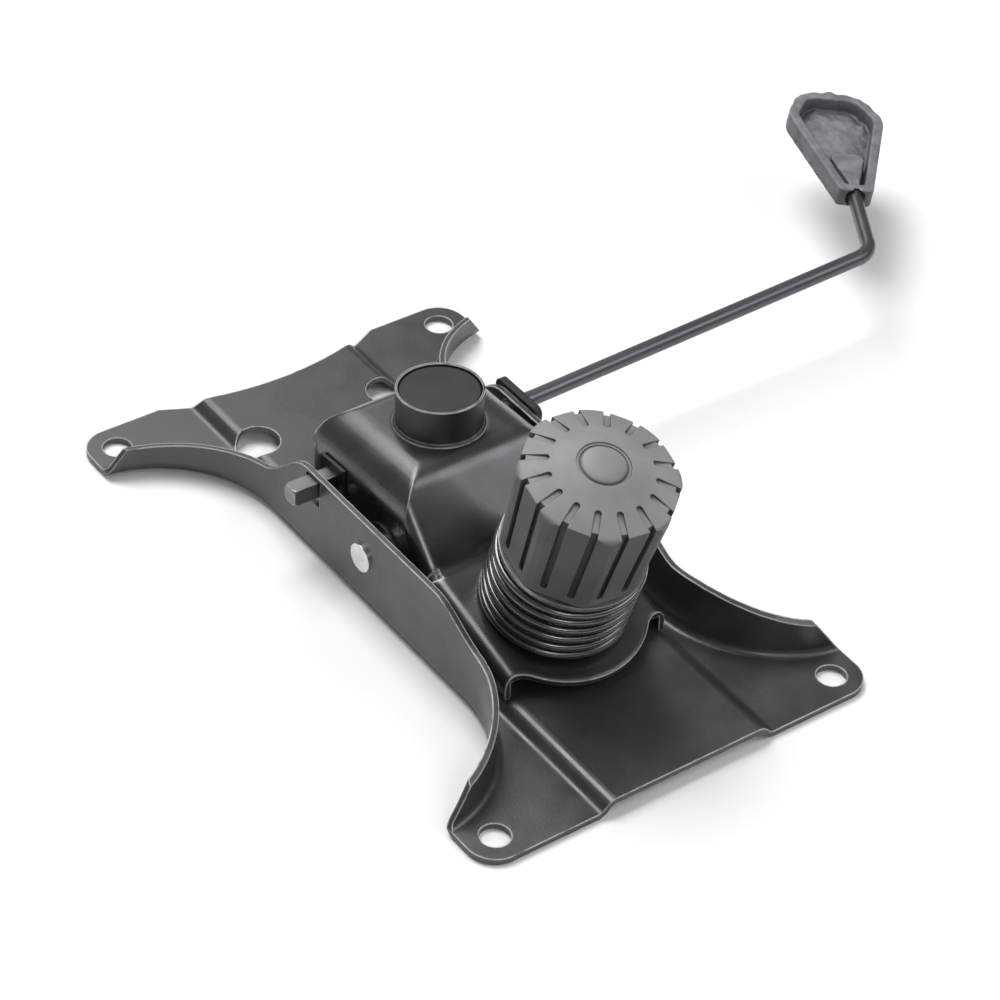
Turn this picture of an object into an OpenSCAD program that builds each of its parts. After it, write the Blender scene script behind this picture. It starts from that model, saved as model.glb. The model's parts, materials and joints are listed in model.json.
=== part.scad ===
// Office chair tilt mechanism, lying on its seat face.
// The origin is the centre of the four seat holes, on the plane of the seat face.
// +X points to the lever side, +Y to the back of the chair, +Z away from the seat.

/* [Seat plate] */
// Distance between the seat holes across the chair
hole_pitch_x = 160; // [154:1:166]
// Distance between the seat holes from front to back
hole_pitch_y = 260; // [252:1:270]
// Diameter of the seat holes
hole_d = 12; // [8:0.5:14]
// Radius of the wing corners round the seat holes
corner_r = 12; // [11:0.5:13.5]
// Thickness of the seat plate
plate_t = 2.5; // [2:0.1:3]
// Rise of the middle panel above the seat face
panel_rise = 4.4; // [3.5:0.1:5]
// Half the width of the raised middle panel
panel_half = 35; // [34:0.5:36]
// Half the width over the flanges at the waist
waist_half = 48; // [47:0.5:51]
// Half the length of the straight part of the waist
waist_straight = 65; // [60:1:68]
// Radius of the curve from the waist to a wing
waist_r = 52; // [49:0.5:53]
// Height of the flange at the waist
flange_h = 39.5; // [39:0.5:44]
// Outer radius of the fold between the plate and its flanges
fold_r = 5.5; // [4:0.1:6]
// Diameter of the two large holes at the back
back_hole_d = 18; // [14:0.5:20]
// Distance of a large hole from the middle
back_hole_x = 32; // [30:0.5:36]
// Distance of the large holes behind the origin
back_hole_y = 99.5; // [96:0.5:104]

/* [Pivot] */
// Place of the pivot axle along the chair
pivot_y = 3; // [1:0.5:5]
// Height of the pivot axle above the seat face
pivot_z = 22.8; // [22:0.1:24]
// Diameter of the pivot axle
axle_d = 12; // [10:0.5:13]
// Lean of the gas socket to the back at rest, in degrees
recline = 4; // [3:0.5:5]
// Tilt from rest to the rear stop, in degrees
tilt_range = 7; // [5:0.5:8]

/* [Housing] */
// Half the width of the housing
house_half = 38; // [37.5:0.5:39]
// Sheet thickness of the housing
house_t = 2.5; // [2:0.1:3]
// Height of the deck above the pivot
deck_h = 34.8; // [33:0.2:37]
// Radius of the long edges of the deck
deck_edge_r = 18; // [15:0.5:20]
// Slope of the ramp in front of the deck, in degrees
ramp_angle = 50; // [46:1:55]
// Distance of the ramp's upper corner in front of the pivot
ramp_u = 5.3; // [4:0.1:7]
// Slope of the front arm against the deck, in degrees
arm_angle = 18; // [17:0.5:19]
// Radius of the round tongue at the front of the arm
tongue_r = 37.6; // [35:0.2:40]

/* [Gas socket] */
// Distance of the socket behind the pivot
socket_u = 17; // [16:0.2:18]
// Outer diameter of the socket tube
socket_od = 35; // [34:0.2:36]
// Diameter of the cylindrical land that takes the gas spring
socket_d = 28; // [27:0.1:28.5]
// Height of the socket's mouth above the deck
socket_stand = 15.7; // [13:0.1:18]
// Length of the cylindrical land
land_h = 8; // [6:0.5:10]

/* [Tension spring and knob] */
// Outer diameter of the spring
spring_od = 59.5; // [56:0.5:62]
// Diameter of the spring wire
wire_d = 3.3; // [2.8:0.1:3.4]
// Length of the spring at rest
spring_len = 32; // [31:0.5:36]
// Turns of the spring
spring_turns = 6; // [5:0.25:6]
// Diameter of the tension bolt
bolt_d = 10; // [8:0.5:11]
// Diameter of the knob over its corners, at the top
knob_d = 63; // [60:0.5:66]
// Height of the knob
knob_h = 45; // [42:0.5:48]
// Rise of the knob's top from its rim to its middle
knob_crown = 4.5; // [2:0.1:6]
// Flutes on the knob
knob_flutes = 16; // [8:8:16]

/* [Lever] */
// Diameter of the lever rod
rod_d = 6.6; // [6.2:0.1:7.2]
// Distance of the rod behind the pivot
rod_u = 33.3; // [32.5:0.1:34]
// Height of the rod above the pivot
rod_w = 13.6; // [12.8:0.1:14]
// Length of the rod from the guide to its bend
rod_reach = 182; // [140:1:200]
// Bend of the rod to the back, in degrees
rod_bend = 59; // [50:1:75]
// Rise of the outer rod away from the seat, in degrees
rod_rise = 1.7; // [1.2:0.1:3]
// Length of the paddle
paddle_len = 76; // [68:1:85]
// Width of the paddle at its outer end
paddle_w = 41; // [37:1:46]
// Side of the square lock bar
lock_size = 7; // [6.6:0.1:7.2]
// Length of the lock bar outside the flange
lock_proud = 11; // [8:0.5:13]
// Travel of the lock bar when the lever is pulled out
lock_travel = 14; // [12:0.5:14]

/* [Hidden] */
$fn = 64;

paint_black = [0.13, 0.13, 0.13];
gloss_black = [0.08, 0.08, 0.09];
zinc = [0.78, 0.78, 0.76];
grey_plastic = [0.36, 0.36, 0.36];
black_plastic = [0.1, 0.1, 0.1];
nylon = [0.1, 0.1, 0.1];
rubber = [0.06, 0.06, 0.06];

// Room for a shaft that turns or slides, and for faces that must stay apart
run_gap = 0.05;
part_gap = 0.3;
far = 200;

// Outline of the seat plate
plate_half_x = hole_pitch_x / 2 + corner_r + 0.5;
plate_half_y = hole_pitch_y / 2 + corner_r;
joggle_run = panel_rise;
panel_top = panel_rise + plate_t;
flange_in = waist_half - plate_t;
back_edge_set_in = 12.5;
back_edge_r = 143;
back_edge_half = 37;
back_edge_ramp = 16;
flange_flat = 43;
flange_knee = 73;
flange_front_h = 28.7;
flange_front_end = -1.5;
flange_front_fall = 2;
flange_back_h = 19.8;
flange_back_end = 9;
flange_back_fall = 1;
flange_tip_h = 24;
flange_tip_run = 15.5;

// Places in the side view, from housing coordinates to the plate's, at a tilt from rest
function side_y(p, tilt = 0) = pivot_y + p.x * cos(recline + tilt) + p.y * sin(recline + tilt);
function side_z(p, tilt = 0) = pivot_z - p.x * sin(recline + tilt) + p.y * cos(recline + tilt);

// Place of the spring on the arm, and a place in the arm's own side view
arm_u = -58.8;
arm_w = -4.6;
function arm_side(y, z) = [
    arm_u + y * cos(arm_angle) - z * sin(arm_angle),
    arm_w + y * sin(arm_angle) + z * cos(arm_angle)
];
bolt_lean = arm_angle - recline;

// The bolt's round head in its domed seat, and how far the tilt draws the bolt through the arm
ball_drop = 24;
dome_r = 14;
dome_in = dome_r - plate_t;
head_cut = 4.5;
ball_at = arm_side(0, -ball_drop);
dome_y = side_y(ball_at);
dome_z = side_z(ball_at);
draw = (side_z(ball_at, tilt_range) - dome_z) / cos(bolt_lean - tilt_range);
ball_drawn = arm_side(0, -ball_drop - draw);
dome_y_drawn = side_y(ball_drawn, tilt_range);
dome_mid = (dome_y + dome_y_drawn) / 2;
ball_r = dome_in - part_gap - abs(dome_y - dome_y_drawn) / 2;
dome_slot_r = bolt_d / 2 + 1.2;
slot_front = dome_y - dome_r * tan(bolt_lean);
slot_back = dome_y_drawn - (dome_in - 1) * tan(bolt_lean - tilt_range);

// Side view of the housing: back wall, deck, ramp and arm
back_u = 57;
back_foot_w = 0;
back_slope = 10;
deck_back_r = 10;
deck_front_r = 14;
ramp_foot_r = 9;
arm_edge_r = 5;
edge_swell = 0.02;
tongue_fillet = 11;
back_corner_r = 16;
wall_front_u = -80;
wall_front_w = -21.5;
wall_mid_u = 8;
wall_mid_w = -13;
function arm_line(u) = arm_w + (u - arm_u) * tan(arm_angle);
foot_u = (arm_w - arm_u * tan(arm_angle) - deck_h - ramp_u * tan(ramp_angle))
    / (tan(ramp_angle) - tan(arm_angle));
foot_w = arm_line(foot_u);
back_top_u = back_u - back_slope;
back_deep_u = back_u + back_slope * far / (deck_h - back_foot_w);
housing_side = [
    [-far, back_foot_w - far, 0],
    [back_deep_u, back_foot_w - far, 0],
    [back_top_u, deck_h, deck_back_r],
    [-ramp_u, deck_h, deck_front_r],
    [foot_u, foot_w, ramp_foot_r],
    [-far, arm_line(-far), 0]
];
housing_section = [
    [house_half, -far, 0],
    [house_half, deck_h, deck_edge_r],
    [-house_half, deck_h, deck_edge_r],
    [-house_half, -far, 0]
];
wall_in = house_half - house_t;

// Levels of the socket in housing coordinates
mouth_w = deck_h + socket_stand;
plug_depth = 6;
plug_drop = 0.7;
plug_rim = 1;
plug_r = socket_od / 2 - plug_rim;
land_top = mouth_w - plug_depth - 0.2;
socket_foot = 21.5;
socket_taper = 1.438;
doubler_t = 3;
doubler_front = 20;
doubler_back = 23;
pad_x = 20;
pad_d = 13;
pad_back = 8;
strip_half = 18;
strip_w = 12;

// Places of the rod, at rest and tilted
rod_at = [rod_u, rod_w];
rod_y = side_y(rod_at);
rod_z = side_z(rod_at);
rod_y_tilted = side_y(rod_at, tilt_range);
rod_z_tilted = side_z(rod_at, tilt_range);

// Pivot parts
bush_wall = 2;
bush_r = axle_d / 2 + bush_wall;
bush_flange_r = bush_r + 3;
axle_proud = 1.2;
clip_t = 1.1;
clip_groove = 1.2;
clip_x = flange_in - part_gap - clip_t;
bush_flange_t = (clip_x - house_half) / 6;
bush_reach = 6;

// Stack of the tension parts along the bolt, measured from the top face of the arm
coil_r = (spring_od - wire_d) / 2;
washer_t = 2;
washer_z = spring_len + part_gap;
knob_z = washer_z + washer_t + part_gap;
knob_taper = 3;
knob_wall = 4;
knob_hub_r = 12;
flute_w = 2.7;
flute_depth = 1.5;
flute_top = 9;
flute_foot = 5;
cap_r = 10.4;
nut_flats = 17;
nut_h = 8;
nut_z = knob_z + knob_h - 20;
knob_phase = 16;
knob_flat_r = knob_d / 2 * 0.945;
cap_seat_r = cap_r + 2;
crown_slope = atan(knob_crown / (knob_d / 2 - cap_seat_r));
cap_t = 3;
cap_dome = 1.6;
bolt_end = nut_z + nut_h + 4;

// Lever
guide_t = 3.2;
guide_half = 13.5;
guide_y = rod_y - 1.7;
guide_low = 23.5;
guide_high = flange_h + 2;
peg_r = 2;
rod_bend_r = 12;
bend_swell = 0.06;
bend_lap = 0.8;
dogleg_half = 1.5;
dogleg_swell = 0.12;
paddle_gap = 39.5;
paddle_roll = 7;
rod_in_paddle = 26;
dogleg_x = waist_half + part_gap + guide_t + 4.5;
lock_inner = -20;
rod_neck_d = 5;
rod_neck_len = 18;
pin_d = 1.5;
pin_x = lock_inner - 5;
pin_offset = 2.5;
arm_x0 = -17;
arm_x1 = 5;
valve_hub_r = 5;
valve_arm_len = 24;
valve_arm_t = 3;

// Fittings of the rod and the lock bar in the housing walls
rod_bush_r = rod_d / 2 + 1.9;
lock_bush_half = lock_size / 2 + 2;
fit_flange = 2.2;
fit_flange_t = 1.5;

function unit(v) = v / norm(v);
function left_of(a, b) = let (d = unit(b - a)) [-d.y, d.x];
function flat(p) = [p.x, p.y];
function before(path, i) = path[(i + len(path) - 1) % len(path)];
function after(path, i) = path[(i + 1) % len(path)];

// Arc that rounds one corner of a path whose points are [x, y, radius]
function corner(a, p, b, steps) =
    p[2] <= 0 ? [flat(p)] :
    let (
        to_a = unit(flat(a) - flat(p)),
        to_b = unit(flat(b) - flat(p)),
        half = acos(to_a * to_b) / 2,
        centre = flat(p) + unit(to_a + to_b) * p[2] / sin(half),
        start = flat(p) + to_a * p[2] / tan(half) - centre,
        finish = flat(p) + to_b * p[2] / tan(half) - centre,
        angle = atan2(start.y, start.x),
        sweep = (180 - 2 * half) * sign(cross(start, finish))
    )
    [for (i = [0:steps]) centre + p[2] * [cos(angle + sweep * i / steps), sin(angle + sweep * i / steps)]];
function rounded(path, steps = 8) =
    [for (i = [0:len(path) - 1]) each corner(before(path, i), path[i], after(path, i), steps)];

// The same path moved inwards, with its corner radii kept concentric
function inset(path, d) = [
    for (i = [0:len(path) - 1])
    let (
        p = flat(path[i]),
        n1 = left_of(flat(before(path, i)), p),
        n2 = left_of(p, flat(after(path, i))),
        move = d * (n1 + n2) / (1 + n1 * n2),
        bulges = cross(p - flat(before(path, i)), flat(after(path, i)) - p) > 0,
        r = path[i][2]
    )
    [p.x + move.x, p.y + move.y, r <= 0 ? 0 : bulges ? max(r - d, 0.2) : r + d]
];

// A side view drawn as (y, z) and carried across X, and a front view drawn as (x, z) and carried along Y
module across(width) rotate([90, 0, 90]) linear_extrude(width, center = true) children();
module along(length) rotate([90, 0, 0]) linear_extrude(length, center = true) children();

// Frames: the housing about the pivot with its socket upright, the arm about the spring, and the rod
module in_housing() translate([0, pivot_y, pivot_z]) rotate([-recline, 0, 0]) children();
module on_arm() in_housing() translate([0, arm_u, arm_w]) rotate([arm_angle, 0, 0]) children();
module at_rod() translate([0, rod_y, rod_z]) children();
module x_bar(x0, x1, r) translate([x0, 0, 0]) rotate([0, 90, 0]) cylinder(h = x1 - x0, r = r);

// A round-ended slot through X, between two places in the side view
module side_slot(a, b, r, x, depth) {
    run = b - a;
    for (p = [a, b]) translate([x, p.x, p.y]) rotate([0, 90, 0]) cylinder(h = depth, r = r, center = true);
    translate([x, a.x, a.y])
        rotate([atan2(run.y, run.x), 0, 0])
            translate([-depth / 2, 0, -r]) cube([depth, norm(run), 2 * r]);
}

// Void beside the waist, grown to draw the band that the flange is folded from
module waist_void(grow) {
    for (side = [-1, 1]) translate([side * (waist_half + waist_r), 0]) {
        for (end = [-1, 1]) translate([0, end * waist_straight]) circle(waist_r + grow, $fn = 128);
        square([2 * (waist_r + grow), 2 * waist_straight], center = true);
    }
}

module plate_rectangle()
    polygon(rounded([
        [-plate_half_x, -plate_half_y, corner_r], [plate_half_x, -plate_half_y, corner_r],
        [plate_half_x, plate_half_y, corner_r], [-plate_half_x, plate_half_y, corner_r]
    ], 10));

module back_edge_cut() {
    middle_y = plate_half_y - back_edge_set_in;
    shoulder_y = middle_y + back_edge_r - sqrt(back_edge_r * back_edge_r - back_edge_half * back_edge_half);
    intersection() {
        translate([0, middle_y + back_edge_r]) circle(back_edge_r, $fn = 160);
        translate([-back_edge_half, middle_y - 1]) square([2 * back_edge_half, far]);
    }
    for (side = [-1, 1]) polygon([
        [side * (back_edge_half - 0.1), shoulder_y], [side * (back_edge_half + back_edge_ramp), plate_half_y],
        [side * (back_edge_half + back_edge_ramp), far], [side * (back_edge_half - 0.1), far]
    ]);
}

// Front view of the base sheet with its raised panel
module base_section() {
    shift = plate_t * tan(22.5);
    run = panel_half + joggle_run;
    inner_r = fold_r - plate_t;
    polygon(rounded([
        [-far, 0, 0], [-run, 0, fold_r], [-panel_half, panel_rise, inner_r], [panel_half, panel_rise, inner_r],
        [run, 0, fold_r], [far, 0, 0], [far, plate_t, 0], [run + shift, plate_t, inner_r],
        [panel_half + shift, panel_top, fold_r], [-panel_half - shift, panel_top, fold_r],
        [-run - shift, plate_t, inner_r], [-far, plate_t, 0]
    ], 3));
}

function ease(t) = t * t * (3 - 2 * t);
function flange_top(a, knee_h, end_h, fall) =
    a <= flange_knee ? flange_h + (knee_h - flange_h) * ease((a - flange_flat) / (flange_knee - flange_flat)) :
    max(fold_r + 0.5, knee_h + (end_h - knee_h) * pow((a - flange_knee) / (plate_half_y - flange_knee), fall));
knee_steps = 9;
fall_steps = 8;
flange_stations = [
    for (i = [0:knee_steps]) flange_flat + (flange_knee - flange_flat) * i / knee_steps,
    for (i = [1:fall_steps]) flange_knee + (plate_half_y - flange_knee) * i / fall_steps
];

// Side view of a flange above its fold: level at the waist, falling to the wings
module flange_side()
    polygon(concat(
        [[plate_half_y, fold_r]],
        [for (i = [len(flange_stations) - 1:-1:0])
            [flange_stations[i], flange_top(flange_stations[i], flange_back_h, flange_back_end, flange_back_fall)]],
        [for (a = flange_stations) [-a, flange_top(a, flange_front_h, flange_front_end, flange_front_fall)]],
        [[-plate_half_y, fold_r]]
    ));

// Quarter ring of the fold, drawn outwards from the face of the flange
module fold_profile() intersection() {
    square(fold_r);
    difference() {
        translate([fold_r, fold_r]) circle(fold_r, $fn = 48);
        translate([fold_r, fold_r]) circle(fold_r - plate_t, $fn = 48);
    }
}

module flange_folds()
    for (mx = [0, 1], my = [0, 1]) mirror([mx, 0, 0]) mirror([0, my, 0]) {
        translate([waist_half + waist_r, waist_straight, 0]) rotate(90)
            rotate_extrude(angle = 90, $fn = 128) translate([waist_r, 0]) fold_profile();
        translate([waist_half, waist_straight, 0]) rotate([90, 0, 0]) mirror([1, 0, 0])
            linear_extrude(waist_straight) fold_profile();
    }

module flange_ends() {
    tip_low = plate_half_x;
    tip_high = tip_low - flange_tip_run;
    polygon([
        [-tip_low, 0], [tip_low, 0], [tip_low, plate_t], [tip_high, flange_tip_h], [tip_high, far],
        [-tip_high, far], [-tip_high, flange_tip_h], [-tip_low, plate_t]
    ]);
}

module lock_hole() {
    half = lock_size / 2 * 1.12 + 0.4;
    low = rod_z_tilted - half;
    translate([-waist_half - 1, rod_y - half, low])
        cube([plate_t + 2, rod_y_tilted - rod_y + 2 * half, rod_z + half - low]);
}

module rod_slot(x, depth)
    side_slot([rod_y, rod_z], [rod_y_tilted, rod_z_tilted], rod_d / 2 + 0.6, x, depth);

module guide_pegs(r, x, depth)
    for (end = [-1, 1]) translate([x, guide_y + end * (guide_half - 3.5), guide_low + 4]) x_bar(0, depth, r);

// Dome that holds the bolt's round head, with room for the head's small shift as the housing tilts
module dome(r) translate([0, dome_mid, dome_z]) sphere(r);

module seat_plate() color(paint_black) difference() {
    union() {
        intersection() {
            linear_extrude(far) difference() {
                plate_rectangle();
                waist_void(fold_r);
                back_edge_cut();
            }
            along(3 * far) base_section();
        }
        intersection() {
            flange_folds();
            linear_extrude(far) plate_rectangle();
            along(3 * far) flange_ends();
        }
        intersection() {
            linear_extrude(far) intersection() {
                difference() {
                    waist_void(plate_t);
                    waist_void(0);
                }
                plate_rectangle();
            }
            across(3 * far) flange_side();
            along(3 * far) flange_ends();
        }
        intersection() {
            dome(dome_r);
            translate([-far / 2, dome_y - far / 2, panel_rise]) cube(far);
        }
    }
    for (x = [-1, 1], y = [-1, 1])
        translate([x * hole_pitch_x / 2, y * hole_pitch_y / 2, -1]) cylinder(h = plate_t + 2, d = hole_d);
    for (x = [-1, 1])
        translate([x * back_hole_x, back_hole_y, -1]) cylinder(h = panel_top + 2, d = back_hole_d);
    dome(dome_in);
    translate([0, 0, dome_z]) {
        for (y = [slot_front, slot_back]) translate([0, y, 0]) cylinder(h = dome_r + 2, r = dome_slot_r);
        translate([-dome_slot_r, slot_front, 0]) cube([2 * dome_slot_r, slot_back - slot_front, dome_r + 2]);
    }
    translate([0, pivot_y, pivot_z]) x_bar(-far, far, axle_d / 2 + run_gap);
    lock_hole();
    rod_slot(waist_half, 2 * plate_t + 2);
    guide_pegs(peg_r + run_gap, flange_in - 1, plate_t + 2);
}

module pivot_axle() color(zinc) translate([0, pivot_y, pivot_z]) difference() {
    x_bar(-waist_half - axle_proud, waist_half + axle_proud, axle_d / 2);
    for (side = [-1, 1]) translate([side * (clip_x + clip_t / 2), 0, 0]) rotate([0, 90, 0]) difference() {
        cylinder(h = clip_t + 0.1, r = axle_d, center = true);
        cylinder(h = clip_t + 1, r = axle_d / 2 - clip_groove, center = true);
    }
}

module axle_clips() color(zinc) translate([0, pivot_y, pivot_z])
    for (side = [-1, 1]) translate([side * (clip_x + clip_t / 2), 0, 0]) rotate([0, 90, 0]) difference() {
        cylinder(h = clip_t, r = axle_d / 2 + 3.2, center = true);
        cylinder(h = clip_t + 1, r = axle_d / 2 - clip_groove + run_gap, center = true);
        translate([axle_d / 2 + 1, 0, 0]) cube([axle_d + 2, axle_d * 0.7, clip_t + 1], center = true);
    }

// Rubber pads that the arm lies on at rest, with tops along the underside of the arm
module stop_buffers() color(rubber) {
    pad_at = arm_side(-pad_back, 0);
    intersection() {
        for (side = [-1, 1]) translate([side * pad_x, side_y(pad_at), panel_top]) cylinder(h = deck_h, d = pad_d);
        on_arm() translate([-far, -far, -far - house_t - part_gap]) cube([2 * far, 2 * far, far]);
    }
}

// Rubber strip that stops the back wall of the housing at full tilt
module rear_buffer() color(rubber) {
    stop_at = [back_u, back_foot_w];
    stop_y = side_y(stop_at, tilt_range);
    stop_z = side_z([back_u - house_t, back_foot_w], tilt_range) - house_t * sin(recline + tilt_range);
    translate([-strip_half, stop_y - strip_w * 2 / 3, panel_top])
        cube([2 * strip_half, strip_w, stop_z - part_gap - panel_top]);
}

module lever_guide() color(black_plastic) difference() {
    union() {
        translate([waist_half + guide_t / 2 + 0.1, 0, 0]) across(guide_t) polygon(rounded([
            [guide_y - guide_half, guide_low, 4], [guide_y + guide_half, guide_low, 4],
            [guide_y + guide_half, guide_high, 3], [guide_y - guide_half, guide_high, 3]
        ]));
        guide_pegs(peg_r, flange_in - 0.5, plate_t + 1.2);
    }
    rod_slot(waist_half + guide_t, 3 * guide_t);
}

// Half the outline of the housing's plan, and the round tongue in front of its walls
module housing_plan(shrink) {
    half = house_half - shrink;
    r = back_corner_r - shrink;
    linear_extrude(2 * far, center = true) polygon(rounded([
        [-half, wall_front_u, 0], [half, wall_front_u, 0], [half, back_u + 2 - shrink, r], [-half, back_u + 2 - shrink, r]
    ]));
}

// Bar with one round corner taken out, laid along the upper edges of the arm and of the ramp
module edge_bar(angle, from, to) translate([0, foot_u, foot_w]) rotate([angle, 0, 0])
    translate([0, to, 0]) rotate([90, 0, 0]) linear_extrude(to - from) difference() {
        translate([house_half - arm_edge_r, -arm_edge_r]) square(arm_edge_r + 1);
        translate([house_half - arm_edge_r, -arm_edge_r]) circle(arm_edge_r + edge_swell);
    }

module edge_rounding() {
    ramp_len = (deck_h - foot_w) / sin(ramp_angle);
    lap = arm_edge_r * tan((ramp_angle - arm_angle) / 2) + 0.4;
    for (side = [0, 1]) mirror([side, 0, 0]) {
        edge_bar(arm_angle, -far, lap);
        edge_bar(ramp_angle, -lap, ramp_len);
    }
}

// Plan of the tongue in the arm's own frame: a disc with a fillet to the front ends of the walls
module tongue_plan() {
    front = (wall_front_u - arm_u) / cos(arm_angle);
    fillet_x = sqrt(pow(tongue_r + tongue_fillet, 2) - pow(front - tongue_fillet, 2));
    circle(tongue_r, $fn = 96);
    for (side = [-1, 1]) difference() {
        polygon([
            [0, 0], [side * fillet_x, front + 1], [side * fillet_x, front],
            [side * fillet_x, front - tongue_fillet]
        ]);
        translate([side * fillet_x, front - tongue_fillet]) circle(tongue_fillet + edge_swell, $fn = 48);
    }
}

module housing_skin() in_housing() difference() {
    intersection() {
        across(3 * far) polygon(rounded(housing_side, 10));
        along(3 * far) polygon(rounded(housing_section, 12));
        union() {
            housing_plan(0);
            translate([0, arm_u, arm_w]) rotate([arm_angle, 0, 0])
                linear_extrude(far, center = true) tongue_plan();
        }
        across(3 * far) polygon([
            [wall_front_u - far, wall_front_w], [wall_front_u, wall_front_w], [wall_mid_u, wall_mid_w],
            [back_u - 8, back_foot_w], [far, back_foot_w], [far, far], [wall_front_u - far, far]
        ]);
    }
    edge_rounding();
    intersection() {
        across(3 * far) polygon(rounded(inset(housing_side, house_t), 10));
        along(3 * far) polygon(rounded(inset(housing_section, house_t), 12));
        union() {
            housing_plan(house_t);
            translate([-far, -2 * far, -far]) cube([2 * far, 2 * far + wall_front_u + 1, 2 * far]);
        }
    }
}

module tilt_housing() color(gloss_black) difference() {
    housing_skin();
    in_housing() {
        x_bar(-far, far, bush_r);
        translate([0, socket_u, 0]) cylinder(h = far, d = socket_od);
        translate([0, rod_u, rod_w]) {
            x_bar(0, far, rod_bush_r);
            translate([-far, -lock_bush_half, -lock_bush_half]) cube([far, 2 * lock_bush_half, 2 * lock_bush_half]);
        }
    }
    on_arm() cylinder(h = 4 * house_t, d = bolt_d + 1, center = true);
}

// Tube with a plug seat, a cylindrical land and a taper, and the weld round its foot
module gas_socket() color(gloss_black) in_housing() translate([0, socket_u, 0]) difference() {
    weld = 1.2;
    union() {
        translate([0, 0, socket_foot]) cylinder(h = mouth_w - socket_foot, d = socket_od);
        translate([0, 0, deck_h]) cylinder(h = weld, r1 = socket_od / 2 + weld, r2 = socket_od / 2);
    }
    taper_h = land_top - land_h - socket_foot;
    translate([0, 0, land_top]) cylinder(h = far, r = plug_r + run_gap);
    translate([0, 0, land_top - land_h]) cylinder(h = land_h + 1, d = socket_d);
    translate([0, 0, socket_foot])
        cylinder(h = taper_h, r1 = socket_d / 2 - taper_h * tan(socket_taper), r2 = socket_d / 2);
    translate([0, 0, socket_foot - 1])
        cylinder(h = 1, r = socket_d / 2 - taper_h * tan(socket_taper));
}

module deck_doubler() color(paint_black) in_housing() difference() {
    half = house_half - deck_edge_r - 0.5;
    intersection() {
        translate([0, 0, deck_h - house_t - doubler_t]) linear_extrude(doubler_t) polygon(rounded([
            [-half, socket_u - doubler_front, 4], [half, socket_u - doubler_front, 4],
            [half, socket_u + doubler_back, 4], [-half, socket_u + doubler_back, 4]
        ]));
        across(3 * far) polygon(rounded(inset(housing_side, house_t + run_gap), 10));
    }
    translate([0, socket_u, 0]) cylinder(h = far, d = socket_od);
}

module pivot_bush() in_housing() difference() {
    union() {
        x_bar(wall_in - bush_reach, house_half, bush_r);
        x_bar(house_half, house_half + bush_flange_t, bush_flange_r);
    }
    x_bar(0, far, axle_d / 2 + run_gap);
}

module pivot_bush_near() color(nylon) mirror([1, 0, 0]) pivot_bush();
module pivot_bush_far() color(nylon) pivot_bush();

module spring_seat() color(black_plastic) on_arm() difference() {
    cylinder(h = 4, r = coil_r - wire_d / 2 - 0.6);
    translate([0, 0, -1]) cylinder(h = 6, d = bolt_d + 1);
}

module lock_bush() color(nylon) in_housing() translate([0, rod_u, rod_w]) difference() {
    flange = lock_bush_half + fit_flange;
    hole = lock_size / 2 + run_gap;
    union() {
        translate([-house_half, -lock_bush_half, -lock_bush_half])
            cube([house_t + 2, 2 * lock_bush_half, 2 * lock_bush_half]);
        translate([-house_half - fit_flange_t, -flange, -flange]) cube([fit_flange_t, 2 * flange, 2 * flange]);
    }
    translate([-far, -hole, -hole]) cube([far, 2 * hole, 2 * hole]);
}

module rod_bush() color(nylon) in_housing() translate([0, rod_u, rod_w]) difference() {
    union() {
        x_bar(wall_in - 2, house_half, rod_bush_r);
        x_bar(house_half, house_half + fit_flange_t, rod_bush_r + fit_flange);
    }
    x_bar(0, far, rod_d / 2 + run_gap);
}

// Wire of the spring: closed turns at both ends, open turns between, ends straight for one diameter
rings_a_turn = 24;
wire_sides = 6;
end_pitch = wire_d + 0.6;
open_pitch = (spring_len - wire_d - 2 * end_pitch) / (spring_turns - 2);
function climb(t) =
    t <= 1 ? end_pitch * t :
    t >= spring_turns - 1 ? spring_len - wire_d - end_pitch * (spring_turns - t) :
    end_pitch + open_pitch * (t - 1);
function coil_point(t) = [coil_r * cos(360 * t), coil_r * sin(360 * t), wire_d / 2 + climb(t)];
function coil_heading(t) = [-sin(360 * t), cos(360 * t), 0];
coil_rings = round(spring_turns * rings_a_turn);
coil_turns = [for (i = [0:coil_rings]) spring_turns * i / coil_rings];
wire_path = concat(
    [coil_point(0) - wire_d * coil_heading(0)],
    [for (t = coil_turns) coil_point(t)],
    [coil_point(spring_turns) + wire_d * coil_heading(spring_turns)]
);
wire_turns = concat([0], coil_turns, [spring_turns]);
wire_points = [
    for (i = [0:len(wire_path) - 1], k = [0:wire_sides - 1])
    let (a = 360 * (k + 0.5) / wire_sides, t = wire_turns[i])
    wire_path[i] + wire_d / 2 * (cos(a) * [cos(360 * t), sin(360 * t), 0] + sin(a) * [0, 0, 1])
];
function ring(i, k) = i * wire_sides + k % wire_sides;
wire_last = len(wire_path) - 1;
wire_faces = concat(
    [for (k = [1:wire_sides - 2]) [0, k, k + 1]],
    [for (i = [0:wire_last - 1], k = [0:wire_sides - 1]) each [
        [ring(i, k), ring(i + 1, k), ring(i, k + 1)],
        [ring(i, k + 1), ring(i + 1, k), ring(i + 1, k + 1)]
    ]],
    [for (k = [1:wire_sides - 2]) [ring(wire_last, 0), ring(wire_last, k + 1), ring(wire_last, k)]]
);
spring_least_gap = min([
    for (i = [0:wire_last], j = [i + rings_a_turn / 2:1:wire_last]) norm(wire_path[i] - wire_path[j])
]) - wire_d;
echo(spring_least_gap = spring_least_gap);

module tension_spring() color(gloss_black) on_arm()
    translate([0, 0, 0.05]) polyhedron(wire_points, wire_faces, convexity = 10);

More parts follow.
